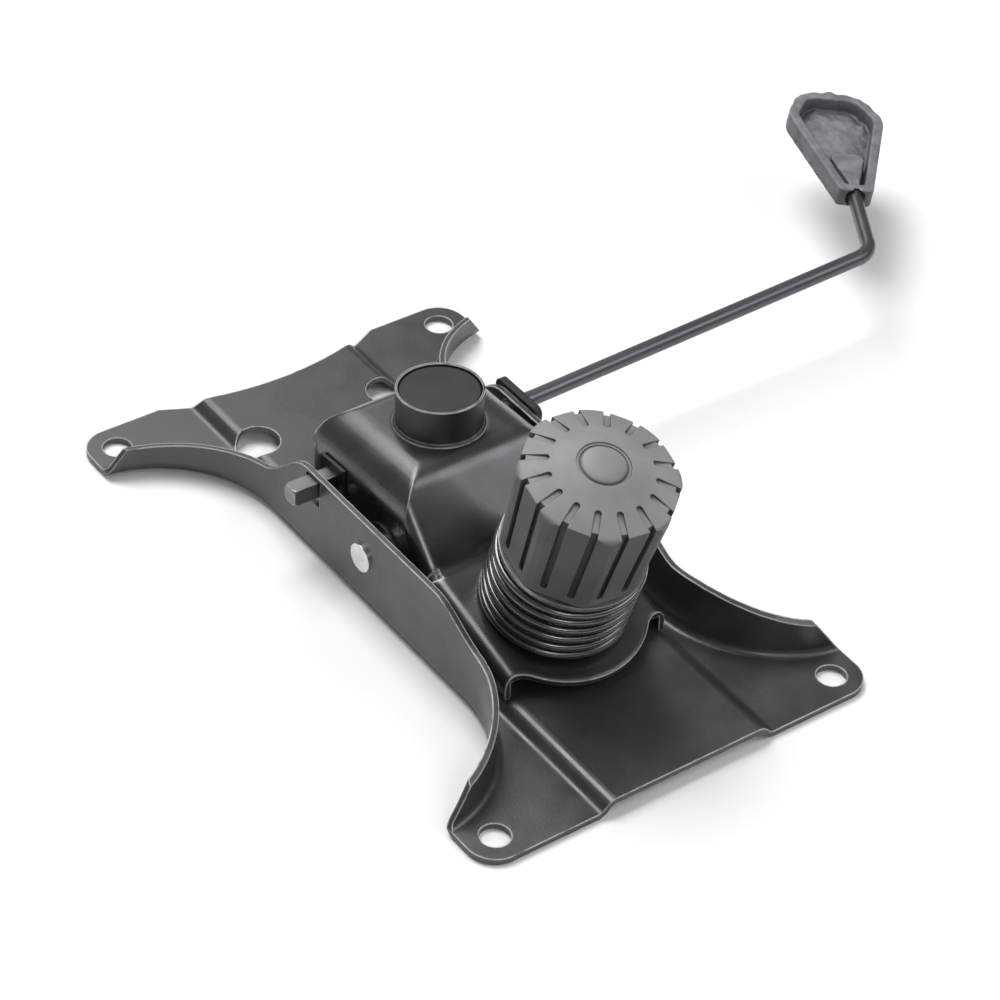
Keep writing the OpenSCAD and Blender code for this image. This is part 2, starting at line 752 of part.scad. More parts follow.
// Bolt with a round head that rocks in the dome of the seat plate
module tension_bolt() color(zinc) on_arm() {
    translate([0, 0, -ball_drop]) difference() {
        sphere(ball_r);
        translate([-far, -far, head_cut - 2 * far]) cube(2 * far);
    }
    translate([0, 0, head_cut - ball_drop]) cylinder(h = bolt_end + ball_drop - head_cut, d = bolt_d);
}

module thrust_washer() color(zinc) on_arm() difference() {
    union() {
        translate([0, 0, washer_z]) cylinder(h = washer_t, r = spring_od / 2 - 1);
        translate([0, 0, washer_z - 3]) cylinder(h = 4, r = coil_r - wire_d / 2 - 0.8);
    }
    cylinder(h = far, d = bolt_d + 2 * run_gap);
    translate([0, 0, washer_z - 4]) cylinder(h = 4, r = coil_r - wire_d / 2 - 3);
}

// Octagonal knob that narrows downwards and is crowned on top, with two flutes on each side
module knob_form() {
    flats = 8;
    narrow = (knob_d / 2 - knob_taper) / (knob_d / 2);
    full_h = knob_h + knob_crown;
    intersection() {
        translate([0, 0, knob_h]) mirror([0, 0, 1]) {
            linear_extrude(knob_h, scale = narrow) circle(knob_flat_r / cos(180 / flats), $fn = flats);
            translate([0, 0, -knob_crown]) linear_extrude(knob_crown) circle(knob_flat_r / cos(180 / flats), $fn = flats);
        }
        rotate_extrude($fn = 96) polygon(rounded([
            [0, 0, 0], [knob_d / 2 - knob_taper, 0, 0], [knob_d / 2, knob_h - 2, 2.5],
            [cap_seat_r, full_h, 30], [0, full_h, 0]
        ], 5));
    }
}

module knob_flute() {
    slope = atan(knob_taper / knob_h);
    translate([knob_flat_r - flute_depth, 0, knob_h]) rotate([0, slope, 0]) {
        translate([0, -flute_w / 2, flute_foot - knob_h]) cube([far, flute_w, knob_h]);
        translate([0, 0, flute_foot - knob_h]) rotate([0, 90, 0]) cylinder(h = 10, d = flute_w, $fn = 24);
    }
    translate([knob_flat_r, 0, knob_h - flute_depth]) rotate([0, crown_slope, 0]) {
        translate([-flute_top, -flute_w / 2, 0]) cube([far, flute_w, far]);
        translate([-flute_top, 0, 0]) cylinder(h = 10, d = flute_w, $fn = 24);
    }
}

module tension_knob() color(grey_plastic) on_arm() translate([0, 0, knob_z]) rotate(knob_phase) difference() {
    side_step = 45;
    flutes = knob_flutes / 8;
    flute_turn = side_step / flutes;
    cavity_r = knob_d / 2 - knob_taper - knob_wall;
    knob_form();
    for (side = [0:7], i = [0:flutes - 1])
        rotate((side + 0.5) * side_step + (i - (flutes - 1) / 2) * flute_turn) knob_flute();
    difference() {
        translate([0, 0, -1]) cylinder(h = knob_h - 5, r = cavity_r);
        translate([0, 0, nut_z - knob_z - 4]) cylinder(h = far, r = knob_hub_r);
    }
    translate([0, 0, -1]) cylinder(h = nut_z + nut_h - knob_z + 1, d = nut_flats / cos(30), $fn = 6);
    translate([0, 0, -1]) cylinder(h = bolt_end - knob_z + 4, d = bolt_d + 1);
    translate([0, 0, knob_h + knob_crown - cap_t]) cylinder(h = far, r = cap_r + 0.05);
}

module knob_nut() color(zinc) on_arm() translate([0, 0, nut_z]) rotate(knob_phase) difference() {
    cylinder(h = nut_h, d = nut_flats / cos(30), $fn = 6);
    translate([0, 0, -1]) cylinder(h = nut_h + 2, d = bolt_d + 2 * run_gap);
}

module knob_cap() color(grey_plastic) on_arm() translate([0, 0, knob_z + knob_h + knob_crown - cap_t]) {
    dome = (cap_r * cap_r + cap_dome * cap_dome) / (2 * cap_dome);
    cylinder(h = cap_t - 0.6, r = cap_r);
    translate([0, 0, cap_t - 0.6]) intersection() {
        translate([0, 0, cap_dome - dome]) sphere(dome, $fn = 128);
        cylinder(h = cap_dome + 1, r = cap_r - 0.8);
    }
}

// Square bar that locks the tilt, turned on the neck of the rod and tied to it by a pin
module lock_bar() color(zinc) in_housing() translate([0, rod_u, rod_w]) difference() {
    half = lock_size / 2;
    chamfer = 1;
    intersection() {
        translate([-waist_half - lock_proud, -half, -half])
            cube([lock_inner + waist_half + lock_proud, lock_size, lock_size]);
        rotate([0, 90, 0]) union() {
            translate([0, 0, -waist_half - lock_proud])
                cylinder(h = chamfer, r1 = half * sqrt(2) - chamfer, r2 = half * sqrt(2));
            translate([0, 0, chamfer - waist_half - lock_proud]) cylinder(h = far, r = half * sqrt(2) + 0.1);
        }
    }
    x_bar(lock_inner - rod_neck_len - 1, far, rod_neck_d / 2 + run_gap);
    translate([pin_x, pin_offset, 0]) cylinder(h = far, d = pin_d, center = true);
}

module lock_pin() color(zinc) in_housing() translate([pin_x, rod_u + pin_offset, rod_w])
    cylinder(h = lock_size, d = pin_d, center = true);

// The outer rod stands off the guide at a small rise, and bends to the back before the paddle
module at_dogleg() at_rod() translate([dogleg_x, 0, 0]) rotate([0, -rod_rise, 0]) children();
bend_tangent = rod_bend_r * tan(rod_bend / 2);
module at_bend() at_dogleg() translate([rod_reach, 0, 0]) rotate([0, 0, rod_bend]) children();

module lever_rod() color(gloss_black) {
    at_rod() difference() {
        union() {
            x_bar(lock_inner - rod_neck_len, lock_inner + 1, rod_neck_d / 2);
            x_bar(lock_inner + part_gap, dogleg_x, rod_d / 2);
            x_bar(dogleg_x - dogleg_half, dogleg_x + dogleg_half, rod_d / 2 + dogleg_swell);
        }
        translate([pin_x, 0, 0]) rotate([0, 90, 0]) difference() {
            cylinder(h = pin_d + 0.4, d = rod_neck_d + 1, center = true);
            cylinder(h = pin_d + 1, r = pin_offset - pin_d / 2 - run_gap, center = true);
        }
    }
    at_dogleg() {
        x_bar(0, rod_reach - bend_tangent + bend_lap, rod_d / 2);
        translate([rod_reach - bend_tangent, rod_bend_r, 0]) rotate(-90)
            rotate_extrude(angle = rod_bend, $fn = 96)
                translate([rod_bend_r, 0]) circle(rod_d / 2 + bend_swell, $fn = 48);
    }
    at_bend() x_bar(bend_tangent - bend_lap, paddle_gap + rod_in_paddle, rod_d / 2);
}

// Fan-shaped paddle, hollow on the side away from the seat, with lobes along its outer end
paddle_high = 4.4;
paddle_deep = 4.4;
paddle_wall = 4.5;
paddle_floor = 2;
paddle_neck = 7.5;
lobes = 5;
lobe_r = 5.2;
boss_wall = 4.2;
paddle_path = [
    [0, -paddle_neck, 2.5], [paddle_len - 19, -paddle_w / 2 - 2, 15], [paddle_len - 1.5, -paddle_w * 0.33, 12],
    [paddle_len - 1.5, paddle_w * 0.33, 12], [paddle_len - 19, paddle_w / 2 + 2, 15], [0, paddle_neck, 2.5]
];
function lobe_at(i) = [
    paddle_len - lobe_r - 5 * pow(2 * i / (lobes - 1) - 1, 2),
    (i / (lobes - 1) - 0.5) * (paddle_w * 0.62)
];

module lever_paddle() color(grey_plastic) at_bend() rotate([paddle_roll, 0, 0]) translate([paddle_gap, 0, 0]) difference() {
    boss_half = rod_d / 2 + boss_wall;
    translate([0, 0, -paddle_deep]) linear_extrude(paddle_deep + paddle_high) {
        polygon(rounded(paddle_path, 6));
        for (i = [0:lobes - 1]) translate(lobe_at(i)) circle(lobe_r, $fn = 32);
    }
    difference() {
        translate([0, 0, paddle_floor - paddle_deep])
            linear_extrude(far) polygon(rounded(inset(paddle_path, paddle_wall), 6));
        translate([0, 0, -paddle_deep]) linear_extrude(paddle_deep + rod_d / 2 + 0.4) polygon(rounded([
            [-1, -boss_half, 0], [rod_in_paddle + 3, -boss_half, 4],
            [rod_in_paddle + 3, boss_half, 4], [-1, boss_half, 0]
        ], 4));
    }
    x_bar(-1, rod_in_paddle, rod_d / 2 + 0.02);
    x_bar(-1, 2, rod_d / 2 + 1);
}

// Arm on the rod that reaches under the gas spring's button
module valve_arm() color(zinc) at_rod() difference() {
    union() {
        x_bar(arm_x0, arm_x1, valve_hub_r);
        translate([arm_x0, -valve_arm_len, -valve_arm_t / 2]) cube([arm_x1 - arm_x0, valve_arm_len, valve_arm_t]);
    }
    x_bar(-far, far, rod_d / 2 + 0.02);
}

module socket_plug() color(paint_black) in_housing() translate([0, socket_u, land_top + 0.2]) difference() {
    top = plug_depth - plug_drop;
    edge = 0.8;
    union() {
        cylinder(h = top - edge, r = plug_r);
        translate([0, 0, top - edge]) cylinder(h = edge, r1 = plug_r, r2 = plug_r - edge);
    }
    translate([0, 0, -1]) cylinder(h = top - 1.2, r = plug_r - 3);
}

seat_plate();
pivot_axle();
axle_clips();
stop_buffers();
rear_buffer();
lever_guide();
tilt_housing();
gas_socket();
deck_doubler();
pivot_bush_near();
pivot_bush_far();
spring_seat();
lock_bush();
rod_bush();
tension_spring();
tension_bolt();
thrust_washer();
tension_knob();
knob_nut();
knob_cap();
lock_bar();
lock_pin();
lever_rod();
lever_paddle();
valve_arm();
socket_plug();
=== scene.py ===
import json
import math

import bpy
from bpy.props import FloatProperty, FloatVectorProperty, IntProperty, PointerProperty
from mathutils import Matrix, Vector


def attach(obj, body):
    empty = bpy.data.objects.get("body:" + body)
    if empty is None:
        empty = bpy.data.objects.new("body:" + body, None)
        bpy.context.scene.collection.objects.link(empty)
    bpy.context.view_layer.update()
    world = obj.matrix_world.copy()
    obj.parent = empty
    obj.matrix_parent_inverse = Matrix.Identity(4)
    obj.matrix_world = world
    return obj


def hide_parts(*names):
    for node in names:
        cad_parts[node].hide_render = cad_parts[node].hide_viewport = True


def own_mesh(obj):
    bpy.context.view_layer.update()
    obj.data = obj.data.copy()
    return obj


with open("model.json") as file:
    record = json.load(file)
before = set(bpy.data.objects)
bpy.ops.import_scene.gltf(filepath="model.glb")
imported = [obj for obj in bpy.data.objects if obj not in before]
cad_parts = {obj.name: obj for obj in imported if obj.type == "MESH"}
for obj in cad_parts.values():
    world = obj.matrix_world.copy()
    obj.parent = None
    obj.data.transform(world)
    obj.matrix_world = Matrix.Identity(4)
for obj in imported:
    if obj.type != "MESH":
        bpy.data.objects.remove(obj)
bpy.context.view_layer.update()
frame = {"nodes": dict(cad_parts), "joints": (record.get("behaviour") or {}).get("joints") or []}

bl_info = {
    "name": "Chair tilt mechanism looks",
    "version": (1, 0, 0),
    "blender": (4, 5, 0),
    "location": "View3D > Sidebar > Tilt mechanism",
    "description": "Paints and dresses the solids of an office chair tilt mechanism and sets a plain studio",
    "category": "Object",
}

NODES = frame["nodes"]
JOINTS = {joint["name"]: joint for joint in frame["joints"]}

# The arm's own frame: its middle is the knob's joint, and its third axis points out through the knob
ARM_MIDDLE = Vector(JOINTS["knob_turn"]["pos_m"])
ARM_OUT = -Vector(JOINTS["knob_turn"]["axis"])
ARM = Matrix.Translation(ARM_MIDDLE) @ Matrix.Rotation(math.atan2(-ARM_OUT.y, ARM_OUT.z), 4, "X")

# The rod from its pivot to the paddle, as in the solids: a straight start, a rising reach, a bend and a foot
ROD_START = 0.056
ROD_REACH = 0.182
ROD_RISE = math.radians(1.7)
ROD_BEND = math.radians(59)
PADDLE_ROLL = math.radians(7)
PADDLE_FOOT = 0.0395
PADDLE = (
    Matrix.Translation(Vector(JOINTS["lever_lift"]["pos_m"]) + Vector((ROD_START, 0, 0)))
    @ Matrix.Rotation(-ROD_RISE, 4, "Y") @ Matrix.Translation((ROD_REACH, 0, 0))
    @ Matrix.Rotation(ROD_BEND, 4, "Z") @ Matrix.Rotation(PADDLE_ROLL, 4, "X")
    @ Matrix.Translation((PADDLE_FOOT, 0, 0))
)

# The paddle in its own frame, first axis along the rod: its bore, hollow, boss, flared walls and rim
BORE_R = 0.0035
BORE_LENGTH = 0.024
BORE_MIDDLE = 0.015
HOLLOW_FLOOR = -0.0024
FLOOR_DEPTH = 0.0004
BOSS_START = 0.006
BOSS_END = 0.030
BOSS_HALF = 0.0082
WALL_HALF = 0.00285
WALL_FLARE = 0.263
WALL_SKIN = 0.0002
RIM_FOOT = 0.003
RIM_MIDDLE = 0.050
RIM_REACH = 2.0
RIM_LOBES = 22
MOTTLE_SIZE = 0.0042

# Finishes: the lacquer's gloss, the turn of an edge (as a cosine) from bare paint to the full edge tint (wear, and
# on pale edge colours a painted highlight), the patches along it, how closed in a hollow is from its brim to its
# depth and how dark the painted shade in it gets, and the size of gloss patches
COAT_ROUGHNESS = 0.18
WEAR_AND_HIGHLIGHT_NONE = 0.965
WEAR_AND_HIGHLIGHT_FULL = 0.86
EDGE_PATCH_SCALE = 180.0
EDGE_PATCH_LOW = 0.22
EDGE_PATCH_HIGH = 0.52
HOLLOW_BRIM = 0.95
HOLLOW_DEPTH = 0.45
HOLLOW_MOST = 0.85
HOLLOW_SHADE = 0.25
GLOSS_PATCH = 2.3
ZINC = {"metal": 1.0, "grain": 1400.0, "relief": 0.00001}

# The spring's wire: sides of its round, steps of its turns, its gap to the seat and the reach of its welds
WIRE_SIDES = 18
TURN_STEPS = 64
FOOT_GAP = 0.00005
WELD = 0.00002

# The cap's ring groove as shares of the ring's width, and the steps of its dome
GROOVE_WALL = 0.25
GROOVE_FLOOR = 0.4
GROOVE_DEPTH = 0.6
DOME_STEPS = 12
DOME_FILL = 0.98
CAP_SIDES = 96
CAP_BEVEL = 0.0002

# The studio: a floor just under the part, the aim of the lamps, and the height at which the surroundings change
FLOOR_SIZE = 8
FLOOR_HEIGHT = -0.0006
AIM = (0.0, 0.0, 0.04)
HORIZON_TOP = 0.10
CEILING_FOOT = 0.60

# The photo's camera: its lens, where it stands and its axes
LENS = 125.28
SENSOR = 36.0
CAMERA_STAND = (-0.6518444, -0.8107748, 0.8964082)
CAMERA_RIGHT = (0.8051089, -0.5891742, 0.0683627)
CAMERA_DOWN = (-0.3354440, -0.5473510, -0.7667361)
CAMERA_AHEAD = (0.4891594, 0.5943742, -0.6383121)


def add(tree, kind, inputs=None, **settings):
    """Adds a shader node with its settings, and links or sets its sockets."""
    made = tree.nodes.new(kind)
    for name, value in settings.items():
        setattr(made, name, value)
    for name, value in (inputs or {}).items():
        if isinstance(value, bpy.types.NodeSocket):
            tree.links.new(value, made.inputs[name])
        else:
            made.inputs[name].default_value = value
    return made


def cloud(tree, place, scale, low=0.35, high=0.65, detail=4.0):
    """A soft noise between 0 and 1 whose patches are about one over scale metres across."""
    noise = add(tree, "ShaderNodeTexNoise", {"Vector": place, "Scale": scale, "Detail": detail})
    spread = add(tree, "ShaderNodeMapRange", {"Value": noise.outputs["Fac"], "From Min": low, "From Max": high})
    return spread.outputs["Result"]


def between(tree, share, first, second):
    """The colour that lies at a share of the way from one colour to another."""
    # Sockets 6 and 7 and output 2 are the mix node's colours
    mix = add(tree, "ShaderNodeMix", {0: share, 6: first, 7: second}, data_type="RGBA")
    return mix.outputs[2]


def times(tree, first, second):
    """The product of two values."""
    return add(tree, "ShaderNodeMath", {0: first, 1: second}, operation="MULTIPLY").outputs[0]


def opaque(colour):
    """A colour with full cover."""
    return (*colour[:3], 1.0)


def tone(colour, level):
    """A colour made lighter or darker."""
    return [level * c for c in colour]


def finish(name, colour, second, roughness, metal=0.0, patch=30.0, grain=900.0, relief=0.00002,
           edge=None, edge_r=0.0008, edge_share=0.7, stretch=(1.0, 1.0, 1.0), specular=0.5, coat=0.0,
           bend_r=None, hollow=None):
    """A surface with uneven colour and gloss, a fine relief, softened edges, a tint along them that is wear and,
    where pale, a painted highlight, and painted shade in its hollows.
    """
    material = bpy.data.materials.new(name)
    material.use_nodes = True
    tree = material.node_tree
    tree.nodes.clear()
    shader = add(tree, "ShaderNodeBsdfPrincipled", {
        "Metallic": metal, "Specular IOR Level": specular, "Coat Weight": coat, "Coat Roughness": COAT_ROUGHNESS})
    add(tree, "ShaderNodeOutputMaterial", {"Surface": shader.outputs[0]})
    place = add(tree, "ShaderNodeTexCoord").outputs["Object"]
    drawn = add(tree, "ShaderNodeMapping", {"Vector": place, "Scale": stretch}).outputs[0]
    patches = cloud(tree, drawn, patch)
    fine = cloud(tree, drawn, grain, 0.3, 0.7, 2.0)
    tint = between(tree, patches, opaque(colour), opaque(second))
    soft = add(tree, "ShaderNodeBevel", {"Radius": edge_r}, samples=6).outputs[0]
    # Edge tint: a lighter colour where the softened normal turns away, standing for wear and, with a pale edge
    # colour, a painted highlight
    if edge:
        surface = add(tree, "ShaderNodeNewGeometry").outputs["Normal"]
        turned = add(tree, "ShaderNodeVectorMath", {0: soft, 1: surface}, operation="DOT_PRODUCT")
        wear_and_highlight = add(tree, "ShaderNodeMapRange", {
            "Value": turned.outputs["Value"], "From Min": WEAR_AND_HIGHLIGHT_NONE, "From Max": WEAR_AND_HIGHLIGHT_FULL}).outputs["Result"]
        edge_patches = cloud(tree, place, EDGE_PATCH_SCALE, EDGE_PATCH_LOW, EDGE_PATCH_HIGH)
        share = times(tree, times(tree, wear_and_highlight, edge_patches), edge_share)
        tint = between(tree, share, tint, opaque(edge))
    # Painted shade: the colour darkens where the object's own surfaces close in over it, in hollows, flutes and
    # inner corners
    if hollow:
        open_sky = add(tree, "ShaderNodeAmbientOcclusion", {"Distance": hollow}, samples=8, only_local=True)
        depth = add(tree, "ShaderNodeMapRange", {
            "Value": open_sky.outputs["AO"], "From Min": HOLLOW_BRIM, "From Max": HOLLOW_DEPTH,
            "To Max": HOLLOW_MOST})
        tint = between(tree, depth.outputs["Result"], tint, opaque(tone(colour, HOLLOW_SHADE)))
    tree.links.new(tint, shader.inputs["Base Color"])
    dull = add(tree, "ShaderNodeMapRange", {
        "Value": cloud(tree, drawn, patch * GLOSS_PATCH), "To Min": roughness[0], "To Max": roughness[1]})
    tree.links.new(dull.outputs["Result"], shader.inputs["Roughness"])
    if bend_r:
        soft = add(tree, "ShaderNodeBevel", {"Radius": bend_r}, samples=12).outputs[0]
    bump = add(tree, "ShaderNodeBump", {"Strength": 1.0, "Distance": relief, "Height": fine, "Normal": soft})
    tree.links.new(bump.outputs[0], shader.inputs["Normal"])
    return material


def paint(material, *names):
    """Gives CAD nodes a finish."""
    for name in names:
        NODES[name].material_slots[0].material = material


def start_clean():
    """Leaves object mode with nothing selected."""
    if bpy.context.object and bpy.context.object.mode != "OBJECT":
        bpy.ops.object.mode_set(mode="OBJECT")
    bpy.ops.object.select_all(action="DESELECT")


def pick(piece):
    """Makes a piece the only selected and active one."""
    start_clean()
    piece.select_set(True)
    bpy.context.view_layer.objects.active = piece


def settle(piece):
    """Puts a piece's place, turn and scale in its mesh."""
    pick(piece)
    bpy.ops.object.transform_apply(location=True, rotation=True, scale=True)


def apply_modifier(piece, kind, **settings):
    """Adds a modifier with its settings and applies it."""
    pick(piece)
    modifier = piece.modifiers.new(kind.title(), kind)
    for name, value in settings.items():
        setattr(modifier, name, value)
    bpy.ops.object.modifier_apply(modifier=modifier.name)


def merged_copy(name):
    """A copy of a CAD node whose triangles are joined into one skin."""
    piece = bpy.data.objects.new(name + "_skin", NODES[name].data.copy())
    bpy.context.scene.collection.objects.link(piece)
    pick(piece)
    bpy.ops.mesh.customdata_custom_splitnormals_clear()
    bpy.ops.object.mode_set(mode="EDIT")
    bpy.ops.mesh.select_all(action="SELECT")
    bpy.ops.mesh.remove_doubles(threshold=0.000002)
    bpy.ops.mesh.normals_make_consistent(inside=False)
    bpy.ops.object.mode_set(mode="OBJECT")
    return piece


def select_top(piece):
    """Enters edit mode with only the faces selected that look up."""
    pick(piece)
    bpy.ops.object.mode_set(mode="EDIT")
    bpy.ops.mesh.select_mode(type="FACE")
    bpy.ops.mesh.select_all(action="DESELECT")
    bpy.ops.object.mode_set(mode="OBJECT")
    for face in piece.data.polygons:
        face.select = face.normal.z > 0.9
    bpy.ops.object.mode_set(mode="EDIT")


def hand_over(piece, name, material, body, slot, *stands_for):
    """Gives a finished piece its name, material and body, and the CAD nodes that it stands for."""
    piece.name = piece.data.name = name
    piece.data.materials.clear()
    piece.data.materials.append(material)
    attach(piece, body)
    if stands_for:
        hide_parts(*stands_for)


class PlateLook(bpy.types.PropertyGroup):
    colour: FloatVectorProperty(
        name="Satin black", description="Colour of the seat plate's powder coat",
        default=(0.025, 0.022, 0.020), min=0.0, max=1.0, subtype="COLOR")
    # Pale edge colour: partly the coat worn thin, partly a painted highlight along the sheet's edges
    wear_and_highlight: FloatVectorProperty(
        name="Edge wear and highlight", description="Colour along the sheet's edges for thin coat and a painted highlight",
        default=(0.80, 0.79, 0.77), min=0.0, max=1.0, subtype="COLOR")
    edge: FloatProperty(
        name="Edge softness", description="Radius of the softened edges of the sheet",
        default=0.0011, min=0.0001, max=0.002, unit="LENGTH")


class HousingLook(bpy.types.PropertyGroup):
    colour: FloatVectorProperty(
        name="Black paint", description="Colour of the paint on the housing and its tube",
        default=(0.012, 0.012, 0.014), min=0.0, max=1.0, subtype="COLOR")
    # Pale lilac edge colour: partly paint worn thin, partly a painted highlight along the pressing's edges
    wear_and_highlight: FloatVectorProperty(
        name="Edge wear and highlight", description="Colour along edges for thin paint and a painted highlight",
        default=(0.78, 0.78, 0.82), min=0.0, max=1.0, subtype="COLOR")
    edge: FloatProperty(
        name="Edge softness", description="Radius of the softened edges of the pressing",
        default=0.0010, min=0.0001, max=0.002, unit="LENGTH")
    bend: FloatProperty(
        name="Bend softness", description="Radius over which the paint evens out the bends of the pressing",
        default=0.0030, min=0.0005, max=0.008, unit="LENGTH")


class SpringLook(bpy.types.PropertyGroup):
    coil: FloatProperty(
        name="Coil radius", description="From the spring's axis to the middle of its wire",
        default=0.0281, min=0.02, max=0.04, unit="LENGTH")
    wire: FloatProperty(
        name="Wire", description="Diameter of the spring wire",
        default=0.0033, min=0.002, max=0.005, unit="LENGTH")
    end_rise: FloatProperty(
        name="End turn", description="Height that each closed end turn climbs",
        default=0.0039, min=0.003, max=0.006, unit="LENGTH")
    rise: FloatProperty(
        name="Pitch", description="Height that each open turn climbs",
        default=0.005225, min=0.004, max=0.008, unit="LENGTH")
    open_turns: IntProperty(
        name="Open turns", description="Turns between the two closed end turns", default=4, min=2, max=8)
    parted: FloatProperty(
        name="Parting turn", description="Open turn at which the spring passes from the housing to the knob",
        default=3.136, min=1.0, max=3.9)
    colour: FloatVectorProperty(
        name="Spring black", description="Colour of the spring's paint",
        default=(0.030, 0.030, 0.032), min=0.0, max=1.0, subtype="COLOR")


class KnobLook(bpy.types.PropertyGroup):
    colour: FloatVectorProperty(
        name="Grey plastic", description="Colour of the knob and its cap",
        default=(0.206, 0.202, 0.207), min=0.0, max=1.0, subtype="COLOR")
    wear_and_highlight: FloatVectorProperty(
        name="Handled edge", description="Colour along the knob's handled edges",
        default=(0.34, 0.34, 0.35), min=0.0, max=1.0, subtype="COLOR")
    ring: FloatProperty(
        name="Ring", description="Width of the flat rim round the cap, which sets its ring groove",
        default=0.0009, min=0.0004, max=0.002, unit="LENGTH")
    dome: FloatProperty(
        name="Dome", description="Height of the dome in the middle of the cap",
        default=0.0016, min=0.0005, max=0.003, unit="LENGTH")


class LeverLook(bpy.types.PropertyGroup):
    rod: FloatVectorProperty(
        name="Rod coat", description="Colour of the coated rod",
        default=(0.085, 0.085, 0.094), min=0.0, max=1.0, subtype="COLOR")
    paddle: FloatVectorProperty(
        name="Paddle grey", description="Colour of the moulded paddle",
        default=(0.140, 0.138, 0.152), min=0.0, max=1.0, subtype="COLOR")
    voxel: FloatProperty(
        name="Paddle detail", description="Size of the cells from which the paddle's skin is rounded",
        default=0.00045, min=0.0003, max=0.001, unit="LENGTH")
    groove: FloatProperty(
        name="Boss groove", description="Width of the groove between the paddle's boss and its wall",
        default=0.0014, min=0.0, max=0.004, unit="LENGTH")
    lobe: FloatProperty(
        name="Rim lobes", description="Height of the low bumps on the paddle's rim",
        default=0.00015, min=0.0, max=0.0015, unit="LENGTH")
    mottle: FloatProperty(
        name="Mottle", description="Depth of the mottled floor in the paddle's hollow",
        default=0.0018, min=0.0, max=0.004, unit="LENGTH")


class StudioLook(bpy.types.PropertyGroup):
    floor: FloatVectorProperty(
        name="Floor", description="Colour of the pale floor",
        default=(0.95, 0.95, 0.95), min=0.0, max=1.0, subtype="COLOR")
    bounce: FloatProperty(
        name="Floor bounce", description="Share of light that the floor throws back on the object",
        default=0.06, min=0.0, max=1.0)
    key: FloatProperty(
        name="Softbox", description="Power of the large lamp overhead",
        default=30.0, min=0.0, max=60.0, unit="POWER")
    panel: FloatProperty(
        name="Ramp panel", description="Power of the panel that shines in the ramp",
        default=4.4, min=0.0, max=20.0, unit="POWER")
    front: FloatProperty(
        name="Front panel", description="Power of the panel above the camera",
        default=1.6, min=0.0, max=20.0, unit="POWER")
    near: FloatProperty(
        name="Near panel", description="Power of the small panel beside the camera",
        default=3.0, min=0.0, max=20.0, unit="POWER")
    back: FloatProperty(
        name="Back panel", description="Power of the panel that shines in the rear wings",
        default=1.4, min=0.0, max=20.0, unit="POWER")
    fill: FloatProperty(
        name="Ceiling", description="Strength of the surroundings overhead", default=0.20, min=0.0, max=1.0)
    horizon: FloatProperty(
        name="Horizon", description="Strength of the surroundings at floor level", default=0.22, min=0.0, max=1.0)


class TiltLooks(bpy.types.PropertyGroup):
    plate: PointerProperty(type=PlateLook)
    housing: PointerProperty(type=HousingLook)
    spring: PointerProperty(type=SpringLook)
    knob: PointerProperty(type=KnobLook)
    lever: PointerProperty(type=LeverLook)
    studio: PointerProperty(type=StudioLook)


class DressPlate(bpy.types.Operator):
    """Paints the seat plate and the pieces fixed to it, and the spring's seat in the same plastic as the guide"""
    bl_idname = "tilt_looks.dress_plate"
    bl_label = "Seat plate"

    def execute(self, context):
        look = context.scene.tilt_looks.plate
        # The pale edge tint, strengthened past full share, paints a highlight along the sheet's edges as well as
        # wear
        satin = finish(
            "plate_satin_coat", look.colour, tone(look.colour, 1.5), (0.32, 0.43),
            edge=look.wear_and_highlight, edge_r=look.edge, edge_share=1.3, specular=1.0)
        paint(satin, "seat_plate")
        zinc = finish(
            "axle_zinc", (0.74, 0.74, 0.72), (0.58, 0.58, 0.56), (0.22, 0.36), **ZINC, patch=120.0,
            edge=(0.85, 0.85, 0.84), edge_r=0.0005)
        paint(zinc, "pivot_axle", "axle_clips")
        rubber = finish(
            "buffer_rubber", (0.018, 0.018, 0.018), (0.032, 0.031, 0.030), (0.6, 0.75), patch=60.0, grain=1500.0,
            relief=0.00003, edge=(0.06, 0.06, 0.06), edge_r=0.0008)
        paint(rubber, "stop_buffers", "rear_buffer")
        moulded = finish(
            "guide_plastic", (0.008, 0.008, 0.008), (0.014, 0.014, 0.014), (0.45, 0.58), patch=60.0, grain=1600.0,
            relief=0.00002, edge=(0.07, 0.07, 0.07), edge_r=0.0006)
        paint(moulded, "lever_guide", "spring_seat")
        return {"FINISHED"}


